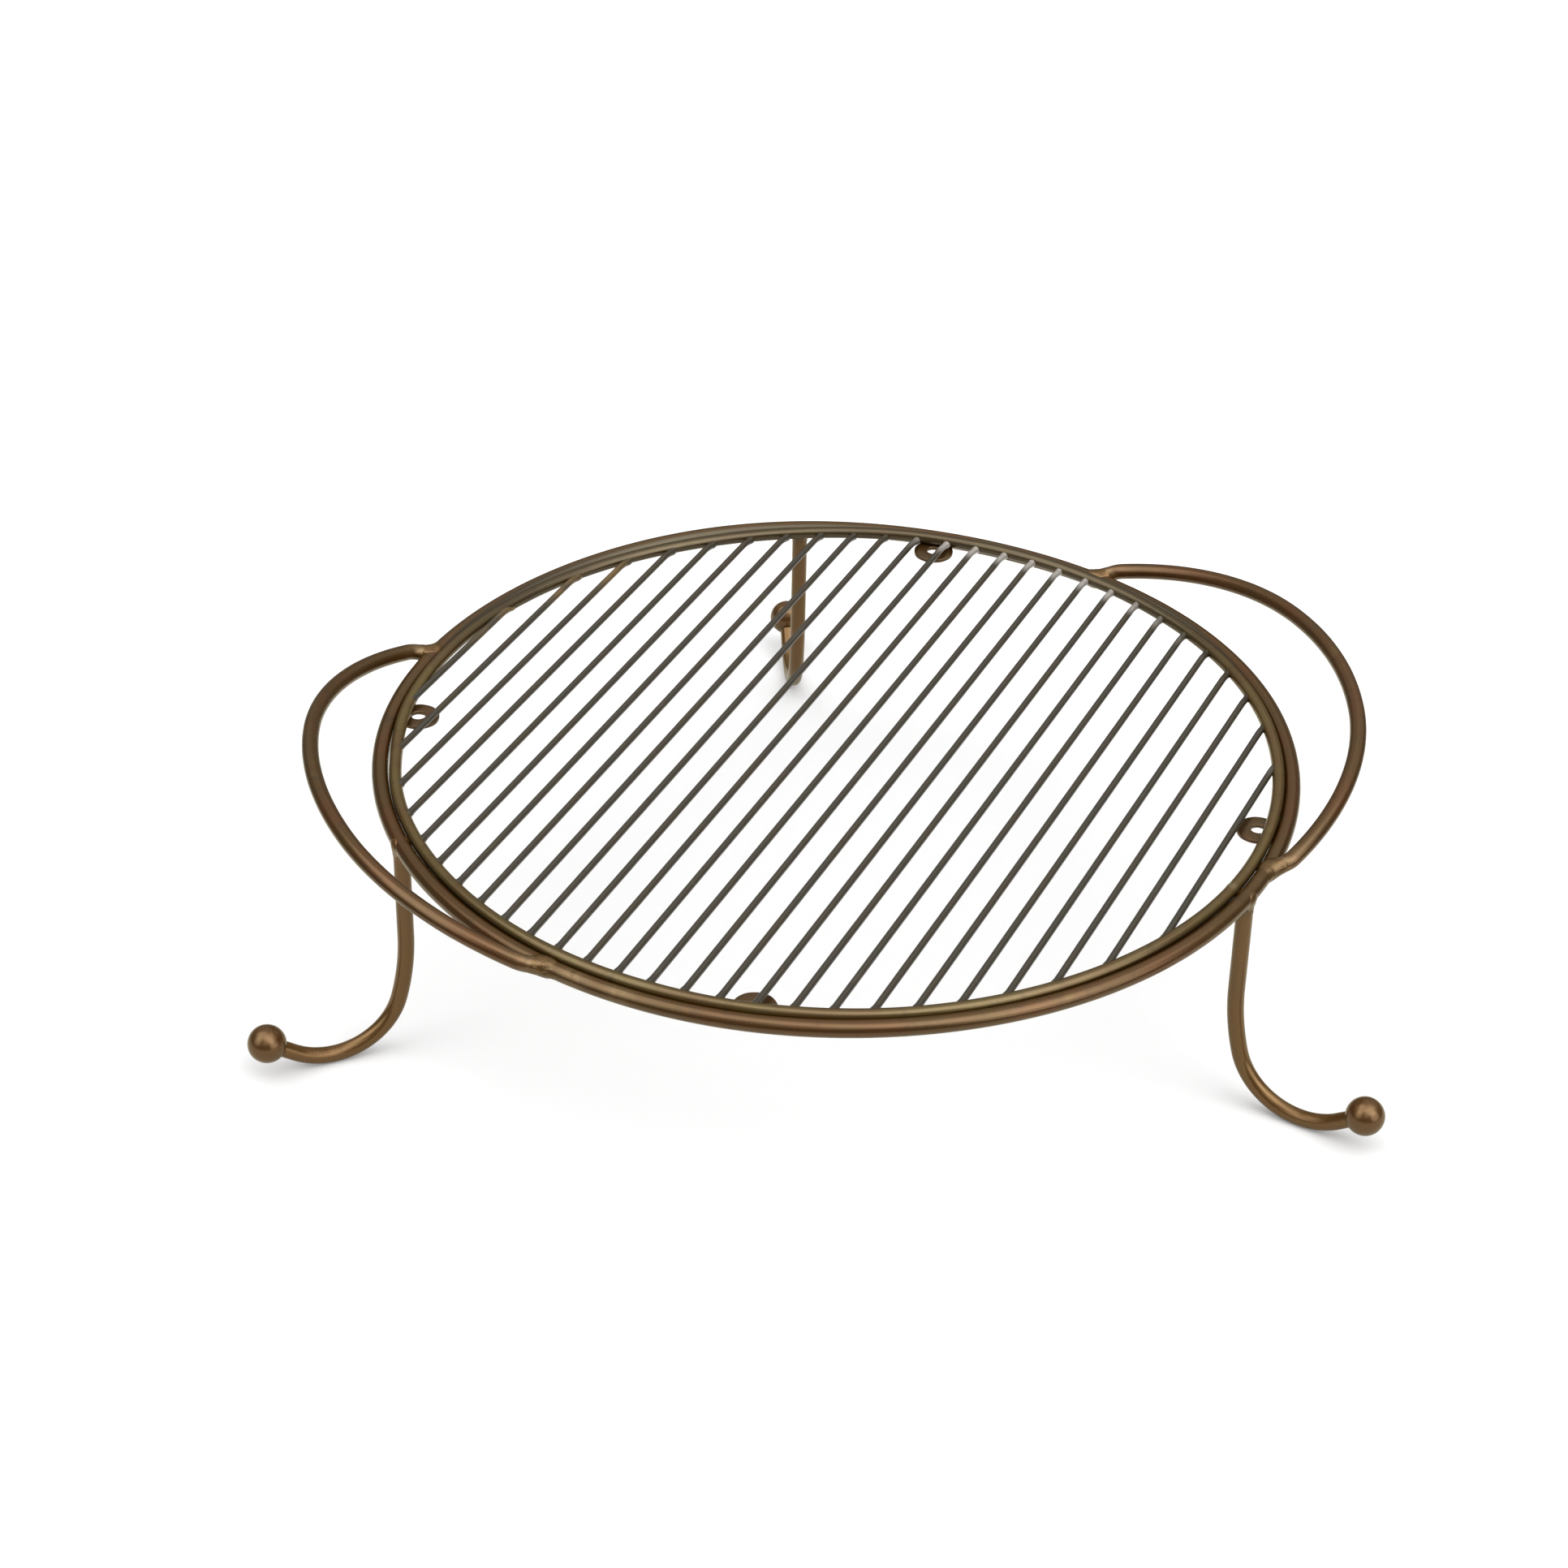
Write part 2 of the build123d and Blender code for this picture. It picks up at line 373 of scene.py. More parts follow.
def planar_path(start, heading, moves, step=0.8 * MM):
    """Points along a plane curve made of straight lines (length,) and bends (radius, signed degrees)."""
    x, y = start
    points = [(x, y)]
    angle = math.radians(heading)
    for move in moves:
        if len(move) == 1:
            sweep = 0.0
            count = max(1, math.ceil(move[0] / step))
            chord = move[0] / count
        else:
            radius, turn = move
            sweep = math.radians(turn)
            count = max(3, math.ceil(abs(sweep) * radius / step))
            chord = 2 * radius * math.sin(abs(sweep) / count / 2)
        for _ in range(count):
            angle += sweep / count / 2
            x += math.cos(angle) * chord
            y += math.sin(angle) * chord
            points.append((x, y))
            angle += sweep / count / 2
    return points


def on_plane(points, origin, along, across):
    return [origin + along * x + across * y for x, y in points]


def leg_points(azimuth):
    """Centre line of a leg, from the ring rod's axis to the ball's centre."""
    outward = direction(azimuth)
    top = outward * (RING_RADIUS + outer_ring_shift(azimuth)[0]) + UP * RING_CENTRE.z
    moves = [(LEG_DROP,), *LEG_BENDS, (LEG_TAIL,)]
    return on_plane(planar_path((0, 0), -90, moves), top, outward, UP)


def handle_end_length():
    """Length of a handle's straight ends, which take up the span that its bends leave."""
    heading = HANDLE_END_HEADING
    bends_span = 0.0
    for radius, turn in HANDLE_BENDS:
        bends_span += radius * (math.sin(math.radians(heading)) - math.sin(math.radians(heading - turn)))
        heading -= turn
    return (2 * HANDLE_HALF_SPAN - bends_span) / 2 / math.cos(math.radians(HANDLE_END_HEADING))


def handle_points(azimuth):
    """Centre line of a handle, and the normal of the tilted plane that it lies in."""
    rise = math.radians(HANDLE_RISE)
    chord_distance = math.sqrt(RING_RADIUS**2 - HANDLE_HALF_SPAN**2)
    origin = direction(azimuth) * chord_distance + UP * RING_CENTRE.z
    along = direction(azimuth - math.pi / 2)
    outward = direction(azimuth) * math.cos(rise) + UP * math.sin(rise)
    end = (handle_end_length(),)
    moves = [end, *((radius, -turn) for radius, turn in HANDLE_BENDS), end]
    path = planar_path((-HANDLE_HALF_SPAN, 0), HANDLE_END_HEADING, moves)
    return on_plane(path, origin, along, outward), outward.cross(along)


# ---------------------------------------------------------------- meshes


def surface_lumps(point, scale, seed):
    """Slow unevenness of coated metal, between about -1 and 1."""
    return noise.noise(point / scale + Vector((seed, 2.3 * seed, -seed)))


def mesh_object(name, vertices, faces, uvs=None):
    mesh = bpy.data.meshes.new(name)
    mesh.from_pydata([tuple(vertex) for vertex in vertices], [], faces)
    mesh.polygons.foreach_set("use_smooth", [True] * len(mesh.polygons))
    if uvs is not None:
        layer = mesh.uv_layers.new(name="along_rod")
        layer.data.foreach_set("uv", np.array(uvs, np.float32).ravel())
    mesh.update()
    obj = bpy.data.objects.new(name, mesh)
    bpy.context.scene.collection.objects.link(obj)
    return obj


def join_close_vertices(obj):
    """Join the vertices that meet at a pole, and turn all faces outward."""
    work = bmesh.new()
    work.from_mesh(obj.data)
    bmesh.ops.remove_doubles(work, verts=work.verts, dist=0.001 * MM)
    bmesh.ops.recalc_face_normals(work, faces=work.faces)
    work.to_mesh(obj.data)
    work.free()


def grid_faces(rows, columns, closed=False, first=0):
    """Faces between rows of vertices that are closed loops; closed joins the last row to the first."""
    faces = []
    for row in range(rows if closed else rows - 1):
        low = first + row * columns
        high = first + (row + 1) % rows * columns
        for column in range(columns):
            beside = (column + 1) % columns
            faces.append((low + column, high + column, high + beside, low + beside))
    return faces


def globe(rows, columns):
    """Directions over a globe, in rows from its top pole to its bottom one, and the faces between them."""
    directions = []
    for row in range(rows):
        polar = math.pi * row / (rows - 1)
        for column in range(columns):
            angle = 2 * math.pi * column / columns
            level = math.sin(polar)
            directions.append((level * math.cos(angle), level * math.sin(angle), math.cos(polar)))
    return directions, grid_faces(rows, columns)


def running_lengths(centres, closed):
    """Length along a line at each of its points, and the whole length."""
    lengths = [0.0]
    for start, end in zip(centres, centres[1:]):
        lengths.append(lengths[-1] + (end - start).length)
    return lengths, lengths[-1] + ((centres[0] - centres[-1]).length if closed else 0)


def rod_vertices(centres, normal, radius_at, sides, closed, unevenness, seed):
    count = len(centres)
    lengths, total = running_lengths(centres, closed)
    vertices = []
    for number, centre in enumerate(centres):
        before = centres[number - 1] if (number > 0 or closed) else centre
        after = centres[(number + 1) % count] if (number < count - 1 or closed) else centre
        side = normal.cross((after - before).normalized())
        radius = radius_at(lengths[number], total)
        for corner in range(sides):
            angle = 2 * math.pi * corner / sides
            outward = side * math.cos(angle) + normal * math.sin(angle)
            point = centre + outward * radius
            lump = surface_lumps(point, COARSE_LUMP, seed) + 0.5 * surface_lumps(point, FINE_LUMP, seed + 5)
            vertices.append(point + outward * lump * unevenness)
    return vertices


def rod_faces(centres, sides, closed):
    """Faces of a rod, and per-corner UVs: metres along it and turns round it."""
    lengths, total = running_lengths(centres, closed)
    last = (len(centres) - 1) * sides
    ends = lengths[1:] + [total]
    faces, uvs = [], []
    for number in range(len(centres) if closed else len(centres) - 1):
        low = number * sides
        high = low + sides if low < last else 0
        start, end = lengths[number], ends[number]
        for corner in range(sides):
            beside = (corner + 1) % sides
            faces.append((low + corner, low + beside, high + beside, high + corner))
            turn, next_turn = corner / sides, (corner + 1) / sides
            uvs += [(start, turn), (start, next_turn), (end, next_turn), (end, turn)]
    if not closed:
        faces += [tuple(reversed(range(sides))), tuple(range(last, last + sides))]
        uvs += [(0, 0)] * sides + [(total, 0)] * sides
    return faces, uvs


def rod(name, centres, normal, radius, seed, sides=28, closed=False, unevenness=ROD_UNEVENNESS):
    """Round rod on a centre line that lies in the plane with this normal; the radius may be a function."""
    radius_at = radius if callable(radius) else (lambda length, total: radius)
    vertices = rod_vertices(centres, normal, radius_at, sides, closed, unevenness, seed)
    return mesh_object(name, vertices, *rod_faces(centres, sides, closed))


# ---------------------------------------------------------------- painted wear


def paint(obj, layer_name, share_at):
    """Per-vertex share that the finish reads: painted shade, bare metal for rubbed wear and a painted
    highlight, and a tan coat.
    """
    layer = obj.data.attributes.new(layer_name, "FLOAT", "POINT")
    layer.data.foreach_set("value", [share_at(vertex.co) for vertex in obj.data.vertices])


def painted_crevice_shade(centre, radius, shift_at, facing):
    """Painted shade on a ring's side that faces outward (facing 1) or inward (-1) to the other ring."""

    def share_at(point):
        azimuth = azimuth_towards(point - centre)
        out, up = shift_at(azimuth)
        reach = (point - centre).to_2d().length - radius - out
        lift = math.degrees(math.atan2(point.z - centre.z - up, facing * reach))
        side = eased(abs(math.sin(azimuth - math.radians(VIEW_AZIMUTH))), 0.4, 0.85)
        back = eased(-towards_view(azimuth), 0.2, 0.7)
        width = CREVICE_WIDTH + CREVICE_SIDE_WIDTH * side + CREVICE_BACK_WIDTH * back
        depth = CREVICE_DEPTH + (1 - CREVICE_DEPTH) * max(side, back)
        return depth * (1 - eased(abs(lift - CREVICE_BACK_LIFT * back), 0.5 * width, width))

    return share_at


def painted_front_back_shade(point):
    """Painted shade all round the grate's ring rod: heavy at the back, light at the front, none at the
    sides.
    """
    facing = towards_view(azimuth_towards(point))
    return BACK_SHADE * eased(-facing, 0.15, 0.65) + FRONT_SHADE * eased(facing, 0.3, 0.8)


def rub_and_highlight_spots(spots):
    """Lighter metal round some points, each with a size and a strength: rubbed wear, and a painted
    highlight.
    """

    def share_at(point):
        return min(1.0, sum(strength * bell((point - spot).length, size) for spot, size, strength in spots))

    return share_at


# ---------------------------------------------------------------- stand pieces


def build_outer_ring():
    """Ring rod of the stand, with a painted highlight on its upper outer side at the front left."""
    line = bent_ring(RING_CENTRE, RING_RADIUS, outer_ring_shift, 1080)
    obj = rod("outer_rod", line, UP, FRAME_ROD_RADIUS, seed=1.7, sides=36, closed=True)
    # Painted shade on its inner side, where it faces the grate's ring
    paint(obj, "painted_shade", painted_crevice_shade(RING_CENTRE, RING_RADIUS, outer_ring_shift, -1))
    # Painted highlight on the upper outer side at the front left
    out = RING_RADIUS + FRAME_ROD_RADIUS * math.cos(RING_HIGHLIGHT_LIFT)
    height = RING_CENTRE.z + FRAME_ROD_RADIUS * math.sin(RING_HIGHLIGHT_LIFT)
    spots = [direction(math.radians(azimuth)) * out + UP * height for azimuth in RING_HIGHLIGHT_AZIMUTHS]
    paint(obj, "rubbed", rub_and_highlight_spots([(spot, *RING_HIGHLIGHT) for spot in spots]))
    return obj


def build_leg(node, seed):
    """Leg rod, which ends inside the ball, and its whole centre line."""
    azimuth = azimuth_towards(box_centre(node.replace("leg", "foot_ball")))
    points = leg_points(azimuth)
    normal = direction(azimuth + math.pi / 2)
    obj = rod(node + "_rod", points[:-3], normal, LEG_ROD_RADIUS, seed)
    paint(obj, "tan", lambda point: LEG_TAN)
    return obj, points


def build_ball(node, leg_line, seed):
    """Solid ball, slightly uneven, with a shallow groove where the leg goes in."""
    centre = leg_line[-1]
    turn = (leg_line[-2] - centre).normalized().to_track_quat("Z", "Y")
    directions, faces = globe(57, 72)
    vertices = []
    for spot in directions:
        outward = turn @ Vector(spot)
        lump = surface_lumps(centre + outward * BALL_RADIUS, 5 * MM, seed)
        groove = bell(math.acos(spot[2]) - GROOVE_PLACE, GROOVE_ANGLE)
        vertices.append(centre + outward * (BALL_RADIUS + BALL_LUMP * lump - GROOVE_DEPTH * groove))
    obj = mesh_object(node + "_solid", vertices, faces)
    join_close_vertices(obj)
    paint(obj, "tan", lambda point: BALL_TAN)
    return obj


def build_handle(node, seed):
    """Handle rod, with its coat rubbed near both ends, and its centre line."""
    points, normal = handle_points(azimuth_of(node))
    obj = rod(node + "_rod", points, -normal, HANDLE_ROD_RADIUS, seed)
    paint(obj, "rubbed", rub_and_highlight_spots([(points[0], *HANDLE_START_RUB), (points[-1], *HANDLE_END_RUB)]))
    return obj, points


def tab_profile():
    """Cross-section of a tab from its rim to its hole, as a closed loop with rounded corners."""
    half = TAB_HALF_THICKNESS - TAB_CORNER
    rim = TAB_RADIUS - TAB_CORNER
    hole = TAB_HOLE_RADIUS + TAB_CORNER
    steps = 5
    profile = []
    for x, z, start in ((rim, half, 0), (hole, half, 90), (hole, -half, 180), (rim, -half, 270)):
        for step in range(steps + 1):
            angle = math.radians(start + 90 * step / steps)
            profile.append((x + TAB_CORNER * math.cos(angle), z + TAB_CORNER * math.sin(angle)))
    return profile


def build_tab(node, seed):
    """Pierced disc with rounded rims."""
    centre = direction(azimuth_of(node)) * TAB_CENTRE_RADIUS + UP * box_centre(node).z
    profile = tab_profile()
    turns = 72
    vertices = []
    for number in range(turns):
        around = direction(2 * math.pi * number / turns)
        for x, z in profile:
            point = centre + around * x + UP * z
            vertices.append(point + around * TAB_LUMP * surface_lumps(point, 3 * MM, seed))
    obj = mesh_object(node + "_disc", vertices, grid_faces(turns, len(profile), closed=True))
    join_close_vertices(obj)
    return obj


# ---------------------------------------------------------------- welds


def ring_distance(places):
    """Distance of each place from the surface of the outer ring."""
    out, up = outer_ring_shift(np.arctan2(places[:, 1], places[:, 0]))
    off_line = np.hypot(places[:, 0], places[:, 1]) - RING_RADIUS - out
    return np.hypot(off_line, places[:, 2] - RING_CENTRE.z - up) - FRAME_ROD_RADIUS


def rod_distance(places, line, radius):
    """Distance of each place from the surface of a rod with this centre line."""
    nearest = np.full(len(places), 1.0)
    for start, end in zip(line, line[1:]):
        span = np.array(end - start)
        away = places - np.array(start)
        share = np.clip(away @ span / (span @ span), 0, 1)
        nearest = np.minimum(nearest, np.linalg.norm(away - share[:, None] * span, axis=1))
    return nearest - radius


def tab_distance(places, azimuth, height):
    """Distance of each place from a tab's disc."""
    centre = np.array(direction(azimuth)) * TAB_CENTRE_RADIUS
    out = np.hypot(places[:, 0] - centre[0], places[:, 1] - centre[1]) - TAB_RADIUS
    thick = np.abs(places[:, 2] - height) - TAB_HALF_THICKNESS
    return np.hypot(np.maximum(out, 0), np.maximum(thick, 0)) + np.minimum(np.maximum(out, thick), 0)


def blended(first, second, width):
    """Smooth union of two distances, which fills the corner between them."""
    share = np.clip(0.5 + 0.5 * (second - first) / width, 0, 1)
    return second + (first - second) * share - width * share * (1 - share)


def weld_noise(outwards, scale, offset):
    return np.array([noise.noise(Vector(outward) * scale + offset) for outward in outwards])


def weld_geometry(centre, other_distance, weld, seed, steps=60):
    """Weld metal that flows over the ring and the part joined to it, and fades into both at its reach."""
    directions, faces = globe(41, 56)
    outwards = np.array(directions)
    lumps = weld_noise(outwards, 2.2, Vector((seed, 0, seed)))
    ripple = weld_noise(outwards, 6.0, Vector((0, seed, seed)))
    bump = WELD_LUMP * lumps + WELD_RIPPLE * ripple

    def outside(share):
        """Below zero within the metal, at this share of the reach."""
        places = np.array(centre) + outwards * weld.reach * share
        swell = weld.crown * (1 - share**2) - WELD_EDGE_SINK + bump
        return blended(ring_distance(places), other_distance(places), weld.fillet) - swell

    shares = np.ones(len(outwards))
    found = np.zeros(len(outwards), bool)
    before = outside(1 / steps)
    for step in range(2, steps + 1):
        after = outside(step / steps)
        leaving = ~found & (before < 0) & (after >= 0)
        shares[leaving] = (step - 1 + before[leaving] / (before[leaving] - after[leaving])) / steps
        found |= leaving
        before = after
    vertices = np.array(centre) + outwards * weld.reach * shares[:, None]
    return vertices, faces


def join_welds(name, welds):
    """One piece from several welds."""
    vertices, faces = [], []
    for weld_vertices, weld_faces in welds:
        first = len(vertices)
        vertices += list(weld_vertices)
        faces += [tuple(first + corner for corner in face) for face in weld_faces]
    obj = mesh_object(name, vertices, faces)
    join_close_vertices(obj)
    return obj


def build_handle_welds(lines):
    """Welds at both ends of each handle."""
    welds = []
    for number, line in enumerate(lines):
        for end, stretch in ((0, line[:HANDLE_WELD_STRETCH]), (-1, line[-HANDLE_WELD_STRETCH:])):
            centre = line[end] + direction(azimuth_towards(line[end])) * ROD_WELD_OFFSET
            distance = functools.partial(rod_distance, line=stretch, radius=HANDLE_ROD_RADIUS)
            welds.append(weld_geometry(centre, distance, HANDLE_WELD, 61.0 + 2 * number + end))
    return join_welds("handle_welds", welds)


def build_leg_welds(lines):
    """A weld at the top of each leg."""
    welds = []
    for number, line in enumerate(lines):
        centre = line[0] - UP * ROD_WELD_OFFSET
        distance = functools.partial(rod_distance, line=line[:LEG_WELD_STRETCH], radius=LEG_ROD_RADIUS)
        welds.append(weld_geometry(centre, distance, LEG_WELD, 70.0 + number))
    return join_welds("leg_welds", welds)


def build_tab_welds():
    """A weld between each tab and the inner side of the ring."""
    welds = []
    for number, azimuth in enumerate(TAB_AZIMUTHS, 1):
        height = box_centre(TAB_NODES[number - 1]).z
        centre = direction(azimuth) * (RING_RADIUS - FRAME_ROD_RADIUS) + UP * (height - TAB_WELD_DROP)
        distance = functools.partial(tab_distance, azimuth=azimuth, height=height)
        welds.append(weld_geometry(centre, distance, TAB_WELD, 80.0 + number))
    return join_welds("tab_welds", welds)


# ---------------------------------------------------------------- grate pieces


def build_grate_ring():
    """Ring rod of the grate, with the small raised seam where its ends meet."""
    seam = math.radians(SEAM_AZIMUTH)

    def radius_at(length, total):
        off_seam = (length / total * 2 * math.pi - seam) * GRATE_RADIUS
        return GRATE_RING_ROD_RADIUS + SEAM_HEIGHT * bell(off_seam, SEAM_WIDTH)

    line = bent_ring(GRATE_CENTRE, GRATE_RADIUS, grate_ring_shift, 960)
    obj = rod("grate_rim", line, UP, radius_at, seed=9.1, sides=30, closed=True)
    # Painted shade where it faces the stand's ring, and all round it at the back and the front
    crevice_shade = painted_crevice_shade(GRATE_CENTRE, GRATE_RADIUS, grate_ring_shift, 1)
    paint(obj, "painted_shade", lambda point: max(crevice_shade(point), painted_front_back_shade(point)))
    spot = GRATE_CENTRE + direction(seam) * (GRATE_RADIUS - SEAM_RUB_INSET) + UP * GRATE_RING_ROD_RADIUS
    paint(obj, "rubbed", rub_and_highlight_spots([(spot, *SEAM_RUB)]))
    return obj


def wire_height(distance_from_far_end):
    """Height of the wire's centre line above the grate ring's axis."""
    return WIRE_RISE - TIP_DIP * (1 - eased(distance_from_far_end, 0, TIP_LENGTH + GRATE_RING_ROD_RADIUS))


def wire_points(middle, along):
    """Centre line of a wire from its far tip to its near one, each resting on the bent ring."""
    offset = (middle - GRATE_CENTRE).to_2d().length
    half = math.sqrt(GRATE_RADIUS**2 - offset**2)
    far_lift = grate_ring_shift(azimuth_towards(middle + along * half))[1]
    near_lift = grate_ring_shift(azimuth_towards(middle - along * half))[1]
    points = []
    length = 0.0
    while length < 2 * half:
        lift = far_lift + (near_lift - far_lift) * length / (2 * half)
        points.append(middle + UP * (wire_height(length) + lift) + along * (half - length))
        length += TIP_STEP if min(length, 2 * half - length) < TIP_ZONE else WIRE_STEP
    points.append(middle + UP * (WIRE_RISE + near_lift) - along * half)
    return points


def build_wire(node, along, seed):
    """Wire, thickened a little at both ends where it is welded to the ring."""
    middle = box_centre(node)
    middle.z = GRATE_CENTRE.z

    def radius_at(length, total):
        off_ring = max(min(length, total - length) - GRATE_RING_ROD_RADIUS, 0)
        return WIRE_RADIUS + WIRE_SWELL * math.exp(-off_ring / WIRE_SWELL_LENGTH)

    points = wire_points(middle, along)
    normal = UP.cross(along)
    return rod(node + "_rod", points, normal, radius_at, seed, sides=18, unevenness=WIRE_UNEVENNESS)


# ---------------------------------------------------------------- materials


class Nodes:
    """Small helper that adds and links shader nodes."""

    def __init__(self, tree):
        self.tree = tree

    def add(self, kind, inputs=None, output=0, **settings):
        node = self.tree.nodes.new(kind)
        for key, value in settings.items():
            setattr(node, key, value)
        for key, value in (inputs or {}).items():
            self.put(node.inputs[key], value)
        return node.outputs[output]

    def put(self, socket, value):
        if isinstance(value, bpy.types.NodeSocket):
            self.tree.links.new(value, socket)
        else:
            socket.default_value = value

    def math(self, operation, first, second):
        return self.add("ShaderNodeMath", {0: first, 1: second}, operation=operation)

    def product(self, *factors):
        return functools.reduce(functools.partial(self.math, "MULTIPLY"), factors)

    def noise(self, vector, scale, detail, roughness=0.55):
        inputs = {"Vector": vector, "Scale": scale, "Detail": detail, "Roughness": roughness}
        return self.add("ShaderNodeTexNoise", inputs)

    def ramp(self, value, start, full):
        """0 up to start, 1 from full on, eased between; it falls where full is the smaller one."""
        inputs = {"Value": value, "From Min": start, "From Max": full}
        return self.add("ShaderNodeMapRange", inputs, interpolation_type="SMOOTHSTEP")

    def mix(self, share, first, second):
        return self.add("ShaderNodeMix", {"Factor": share, 2: first, 3: second}, data_type="FLOAT")

    def cover(self, colour, share, coat):
        """A colour with a plain coat over this share of it."""
        inputs = {"Factor": share, 6: colour, 7: (*coat, 1)}
        return self.add("ShaderNodeMix", inputs, output=2, data_type="RGBA")

    def painted(self, layer_name):
        return self.add("ShaderNodeAttribute", output=2, attribute_name=layer_name)

    def object_place(self):
        return self.add("ShaderNodeTexCoord", output=3)

    def seen_by_camera(self):
        return self.add("ShaderNodeLightPath", output=0)


def tip_colours(nodes, colour, place, along):
    """Pale painted highlight on the wire tips at the back right, and a golden stain on those at the back
    left.
    """
    from_tip = nodes.add("ShaderNodeSeparateXYZ", {0: along})
    across = nodes.add("ShaderNodeSeparateXYZ", {0: place})
    tip = nodes.ramp(from_tip, *TIP_HIGHLIGHT_LENGTH)
    left_edge = nodes.ramp(across, *TIP_HIGHLIGHT_LEFT_EDGE)
    right_edge = nodes.ramp(across, *TIP_HIGHLIGHT_RIGHT_EDGE)
    # Pale painted highlight on the tips at the back right
    colour = nodes.cover(colour, nodes.product(tip, left_edge, right_edge, 0.85), TIP_HIGHLIGHT)
    stain = nodes.ramp(from_tip, *STAIN_LENGTH)
    right_edge = nodes.ramp(across, *STAIN_RIGHT_EDGE)
    blotches = nodes.ramp(nodes.noise(place, 55, 3), 0.3, 0.6)
    return nodes.cover(colour, nodes.product(stain, right_edge, blotches, 0.8), GOLDEN_STAIN)


def lacquer_colour(nodes, finish, place, along, patchy, fleck):
    """Brown coat: reddish and dark patches, dark streaks along the rod that are mostly painted reflections,
    wear, a painted highlight and painted shade.
    """
    slow = nodes.noise(place, 42, 4)
    worn = nodes.noise(place, 75, 5, 0.7)
    uneven = nodes.noise(place, 260, 4, 0.7)
    # Dark streaks along the rod, mostly painted reflections
    stretched = nodes.add("ShaderNodeMapping", {"Vector": along, "Scale": (60, 26, 1)})
    reflection_streak = nodes.noise(stretched, 1.0, 4, 0.6)
    colour = nodes.cover((*finish.body, 1), nodes.ramp(slow, 0.4, 0.64), finish.warm)
    colour = nodes.cover(colour, nodes.product(nodes.ramp(patchy, 0.52, 0.72), 0.5), finish.dark)
    colour = nodes.cover(colour, nodes.product(nodes.ramp(reflection_streak, 0.56, 0.8), 0.4), finish.dark)
    colour = nodes.cover(colour, nodes.product(nodes.ramp(worn, 0.56, 0.76), 0.45), finish.rubbed)
    colour = nodes.cover(colour, nodes.product(nodes.ramp(fleck, 0.56, 0.76), 0.2), finish.rubbed)
    # Bare metal for rubbed wear, and for a painted highlight on the outer ring
    rubbed = nodes.product(nodes.painted("rubbed"), nodes.ramp(uneven, 0.3, 0.6))
    colour = nodes.cover(colour, rubbed, finish.bare)
    colour = nodes.cover(colour, nodes.painted("tan"), TAN_COAT)
    # Painted shade where the rings face each other, and over the grate's ring at the back and the front
    colour = nodes.cover(colour, nodes.product(nodes.painted("painted_shade"), 0.85), CREVICE_SHADE)
    return tip_colours(nodes, colour, place, along) if finish.tips else colour


def bronze(name, finish):
    """Antique bronze lacquer, rougher in its patches and flecks."""
    material = bpy.data.materials.new(name)
    material.use_nodes = True
    shader = material.node_tree.nodes["Principled BSDF"]
    nodes = Nodes(material.node_tree)
    place = nodes.object_place()
    along = nodes.add("ShaderNodeUVMap", uv_map="along_rod")
    patchy = nodes.noise(place, 170, 5, 0.65)
    fleck = nodes.noise(place, 1500, 3, 0.7)
    nodes.put(shader.inputs["Base Color"], lacquer_colour(nodes, finish, place, along, patchy, fleck))
    nodes.put(shader.inputs["Metallic"], LACQUER_METALLIC)
    nodes.put(shader.inputs["IOR"], LACQUER_IOR)
    nodes.put(shader.inputs["Specular IOR Level"], LACQUER_GLOSS)
    nodes.put(shader.inputs["Specular Tint"], (*finish.tint, 1))

    rough = nodes.math("ADD", nodes.product(patchy, 0.16), finish.roughness - 0.08)
    rough = nodes.math("ADD", rough, nodes.product(nodes.math("SUBTRACT", fleck, 0.5), 0.10))
    nodes.put(shader.inputs["Roughness"], rough)

    grain = {"Height": fleck, "Strength": 0.2, "Distance": 0.05 * MM}
    fine = nodes.add("ShaderNodeBump", grain)
    hammer = {"Height": patchy, "Strength": 0.3, "Distance": 0.14 * MM, "Normal": fine}
    nodes.put(shader.inputs["Normal"], nodes.add("ShaderNodeBump", hammer))
    return material


MATERIALS = {slot_name: bronze(slot_name, finish) for slot_name, finish in FINISHES.items()}


# ---------------------------------------------------------------- assembly


def fit(obj, node, body, slot_name):
    """Give a piece its finish and its body, and hide its CAD node."""
    obj.data.materials.append(MATERIALS[slot_name])
    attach(obj, body)
    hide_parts(node)


def build_stand():
    fit(build_outer_ring(), "outer_ring", "stand", "stand_bronze")
    leg_lines = []
    for number, leg in enumerate(LEG_NODES):
        piece, line = build_leg(leg, 20.0 + number)
        fit(piece, leg, "stand", "stand_bronze")
        ball = leg.replace("leg", "foot_ball")
        fit(build_ball(ball, line, 30.0 + number), ball, "stand", "stand_bronze")
        leg_lines.append(line)
    handle_lines = []
    for number, handle in enumerate(HANDLE_NODES):
        piece, line = build_handle(handle, 40.0 + number)
        fit(piece, handle, "stand", "stand_bronze")
        handle_lines.append(line)
    for number, tab in enumerate(TAB_NODES, 1):
        fit(build_tab(tab, 50.0 + number), tab, "stand", "tab_bronze")
    fit(build_handle_welds(handle_lines), "handle_weld_beads", "stand", "weld_bronze")
    fit(build_leg_welds(leg_lines), "leg_weld_beads", "stand", "weld_bronze")
    fit(build_tab_welds(), "tab_weld_beads", "stand", "weld_bronze")


def build_grate():
    fit(build_grate_ring(), "grate_ring", "grate", "grate_ring_bronze")
    wires = [f"grate_wire_{number:02d}" for number in range(1, WIRE_COUNT + 1)]
    along = UP.cross((box_centre(wires[-1]) - box_centre(wires[0])).normalized())
    for number, wire in enumerate(wires, 1):
        fit(build_wire(wire, along, 100.0 + number), wire, "grate", "grate_wire_bronze")


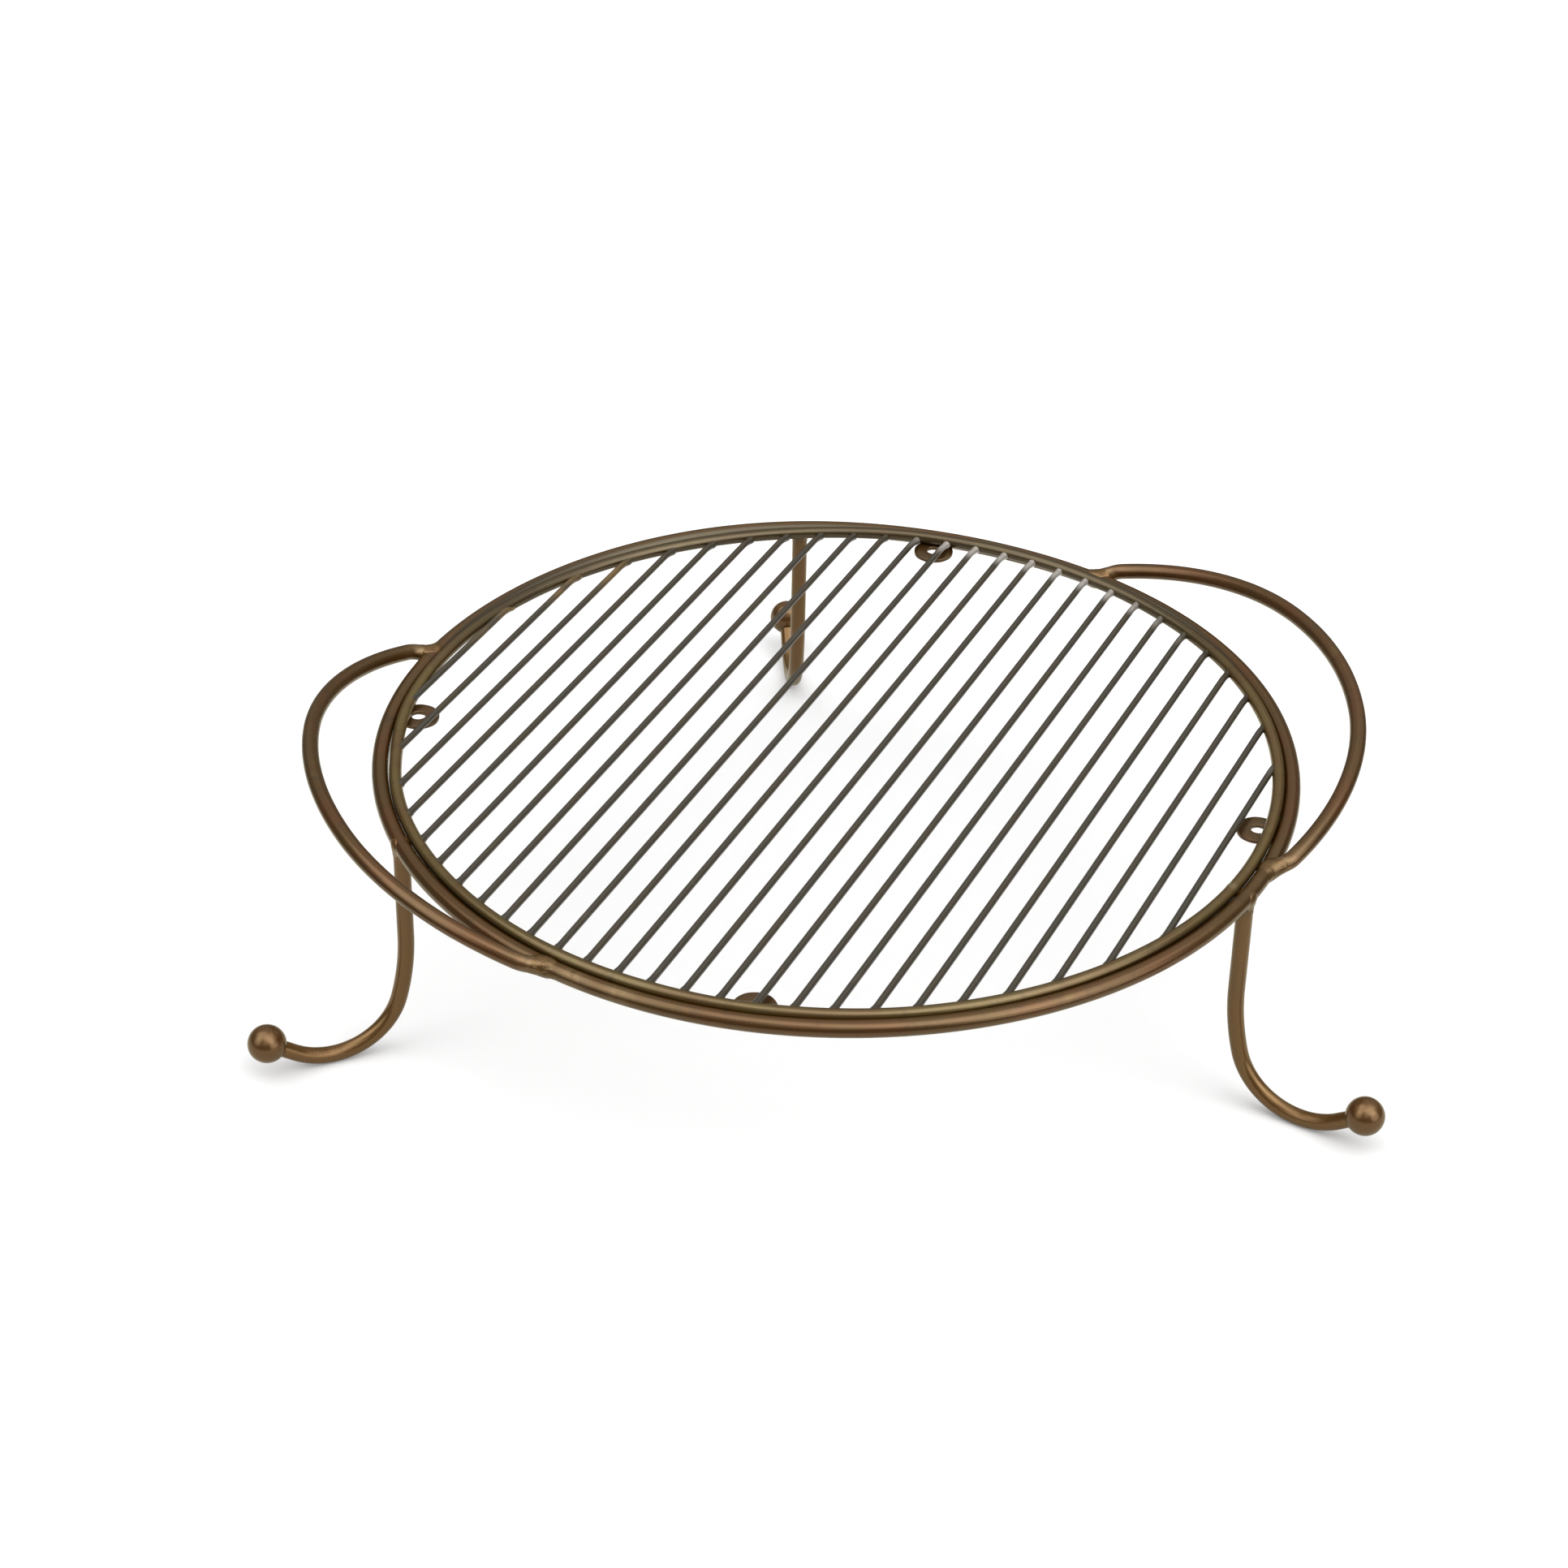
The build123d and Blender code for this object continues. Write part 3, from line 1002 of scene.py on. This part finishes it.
# ---------------------------------------------------------------- floor, light, camera


def floor_disc(rings=24, columns=96):
    """Wide disc whose rings of vertices lie closer together near the rack."""
    spots = [direction(2 * math.pi * column / columns) for column in range(columns)]
    vertices = [Vector()]
    for ring in range(1, rings + 1):
        radius = FLOOR_REACH * (ring / rings) ** 2
        vertices += [spot * radius for spot in spots]
    faces = [(0, 1 + column, 1 + (column + 1) % columns) for column in range(columns)]
    return mesh_object("studio_floor", vertices, faces + grid_faces(rings, columns, first=1))


def build_floor():
    """Matt pale floor, with a slight glow that only the camera sees."""
    floor = floor_disc()
    material = bpy.data.materials.new("pale_floor")
    material.use_nodes = True
    shader = material.node_tree.nodes["Principled BSDF"]
    nodes = Nodes(material.node_tree)
    seen = nodes.seen_by_camera()
    away = nodes.add("ShaderNodeVectorMath", {0: nodes.object_place()}, output=1, operation="LENGTH")
    nearness = nodes.ramp(away, FAR_FLOOR, NEAR_FLOOR)
    shade = nodes.math("ADD", nodes.product(nearness, FLOOR_SHADE - FAR_FLOOR_SHADE), FAR_FLOOR_SHADE)
    shade = nodes.mix(seen, shade, FLOOR_SHADE)
    grey = nodes.add("ShaderNodeCombineColor", {0: shade, 1: shade, 2: shade})
    nodes.put(shader.inputs["Base Color"], grey)
    nodes.put(shader.inputs["Roughness"], 0.9)
    nodes.put(shader.inputs["Specular IOR Level"], 0.0)
    nodes.put(shader.inputs["Emission Color"], (1, 1, 1, 1))
    nodes.put(shader.inputs["Emission Strength"], nodes.product(seen, FLOOR_GLOW))
    floor.data.materials.append(material)


def softbox_share(nodes, towards, azimuth, elevation, inner, outer):
    """1 within the inner angle of a direction, 0 beyond the outer angle; azimuth is from the camera."""
    azimuth, elevation = math.radians(VIEW_AZIMUTH + azimuth), math.radians(elevation)
    centre = tuple(direction(azimuth) * math.cos(elevation) + UP * math.sin(elevation))
    closeness = nodes.add("ShaderNodeVectorMath", {0: towards, 1: centre}, output=1, operation="DOT_PRODUCT")
    return nodes.ramp(closeness, math.cos(math.radians(outer)), math.cos(math.radians(inner)))


def build_world():
    """Soft studio surround: a dim room with softboxes, where the camera sees a plain pale backdrop."""
    world = bpy.data.worlds.new("studio")
    bpy.context.scene.world = world
    world.use_nodes = True
    background = world.node_tree.nodes["Background"]
    nodes = Nodes(world.node_tree)
    towards = nodes.add("ShaderNodeTexCoord", output=0)
    light = SURROUND
    for azimuth, elevation, inner, outer, brightness in SOFTBOXES:
        share = softbox_share(nodes, towards, azimuth, elevation, inner, outer)
        light = nodes.math("ADD", nodes.product(share, brightness), light)
    nodes.put(background.inputs["Color"], (1, 1, 1, 1))
    nodes.put(background.inputs["Strength"], nodes.mix(nodes.seen_by_camera(), light, BACKDROP_SHADE))


def build_camera():
    """Camera at the picture's viewing angle."""
    data = bpy.data.cameras.new("camera")
    data.sensor_width = SENSOR_WIDTH
    data.lens = LENS
    data.clip_start = 0.02
    data.clip_end = 60
    camera = bpy.data.objects.new("camera", data)
    bpy.context.scene.collection.objects.link(camera)
    bpy.context.scene.camera = camera
    azimuth, elevation, roll = (math.radians(angle) for angle in (VIEW_AZIMUTH, VIEW_ELEVATION, VIEW_ROLL))
    back = direction(azimuth) * math.cos(elevation) + UP * math.sin(elevation)
    level = direction(azimuth + math.pi / 2)
    right = level * math.cos(roll) + back.cross(level) * math.sin(roll)
    place = Matrix((right, back.cross(right), back)).transposed().to_4x4()
    place.translation = VIEW_AIM + UP * RING_CENTRE.z + back * VIEW_DISTANCE
    camera.matrix_world = place


build_stand()
build_grate()
build_floor()
build_world()
build_camera()
bpy.context.scene.view_settings.view_transform = "Standard"
